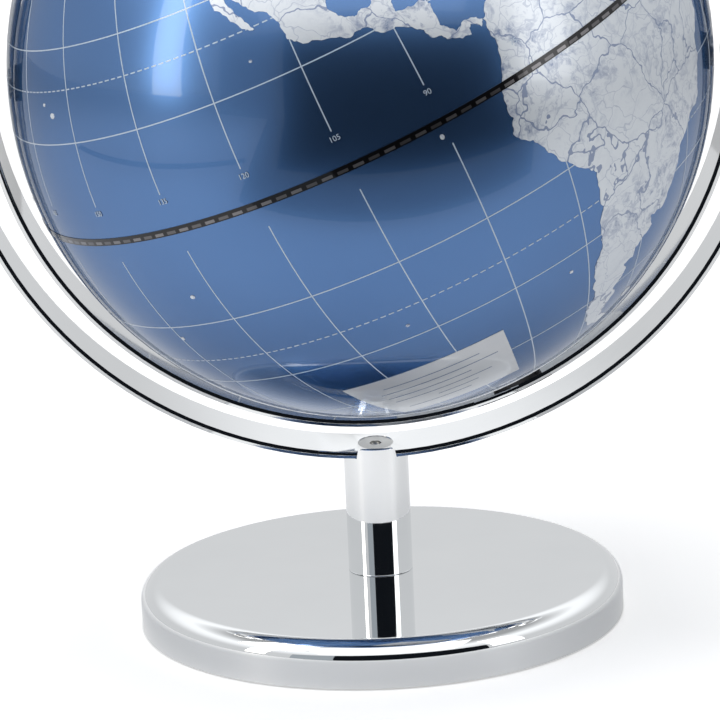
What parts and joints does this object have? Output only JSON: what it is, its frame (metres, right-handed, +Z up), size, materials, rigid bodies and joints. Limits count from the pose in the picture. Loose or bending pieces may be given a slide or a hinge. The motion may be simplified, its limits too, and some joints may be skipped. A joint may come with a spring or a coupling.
{
  "type": "desktop globe",
  "caption": "Desktop world globe that spins about its leaning axis in an inner ring, which swings in an outer ring on a short chrome stem and round base.",
  "frame": {"origin": "centre of the foot pad's underside, on the table", "axes": "+Z up along the stem, +X to the right along the swing axis, -Y to the front"},
  "size_m": [0.3014, 0.2499, 0.3565],
  "materials": {
    "pad_rubber": "matt black rubber",
    "polished_chrome": "mirror polished chrome plate",
    "stem_chrome": "polished chrome plate",
    "ring_chrome": "polished chrome plate on steel band",
    "weight_iron": "painted cast iron",
    "fastener_steel": "zinc plated steel",
    "black_nylon": "black nylon",
    "ball_blue": "metallic blue sea under gloss lacquer, silver land",
    "ball_inside": "natural polystyrene",
    "equator_print": "printed degree scale under gloss lacquer"
  },
  "bodies": {
    "stand": {"base_pad": "pad_rubber", "base_cover": "polished_chrome", "base_weight": "weight_iron", "base_washer": "fastener_steel", "base_bolt": "fastener_steel", "stem": "stem_chrome", "ring_screw": "fastener_steel", "outer_ring": "ring_chrome", "pivot_bush_left": "black_nylon", "pivot_bush_right": "black_nylon"},
    "meridian": {"inner_ring": "ring_chrome", "pivot_pin_left": "stem_chrome", "pivot_pin_right": "stem_chrome", "pivot_nut_left": "fastener_steel", "pivot_nut_right": "fastener_steel", "north_pole_pin": "fastener_steel", "south_pole_pin": "fastener_steel", "north_spacer": "black_nylon", "south_spacer": "black_nylon", "north_cap": "black_nylon", "south_cap": "black_nylon"},
    "globe": {"north_half": "ball_blue", "south_half": "ball_blue", "lap_ring": "ball_inside", "equator_band": "equator_print", "north_socket": "black_nylon", "south_socket": "black_nylon"}
  },
  "joints": [
    {"name": "ring_swing", "type": "hinge", "parent": "stand", "child": "meridian", "pos_m": [0, -0.02102, 0.20929], "axis": [1, 0, 0], "continuous": true},
    {"name": "globe_spin", "type": "hinge", "parent": "meridian", "child": "globe", "pos_m": [0, -0.02102, 0.20929], "axis": [-0.3987, -0.1308, 0.9077], "continuous": true}
  ]
}
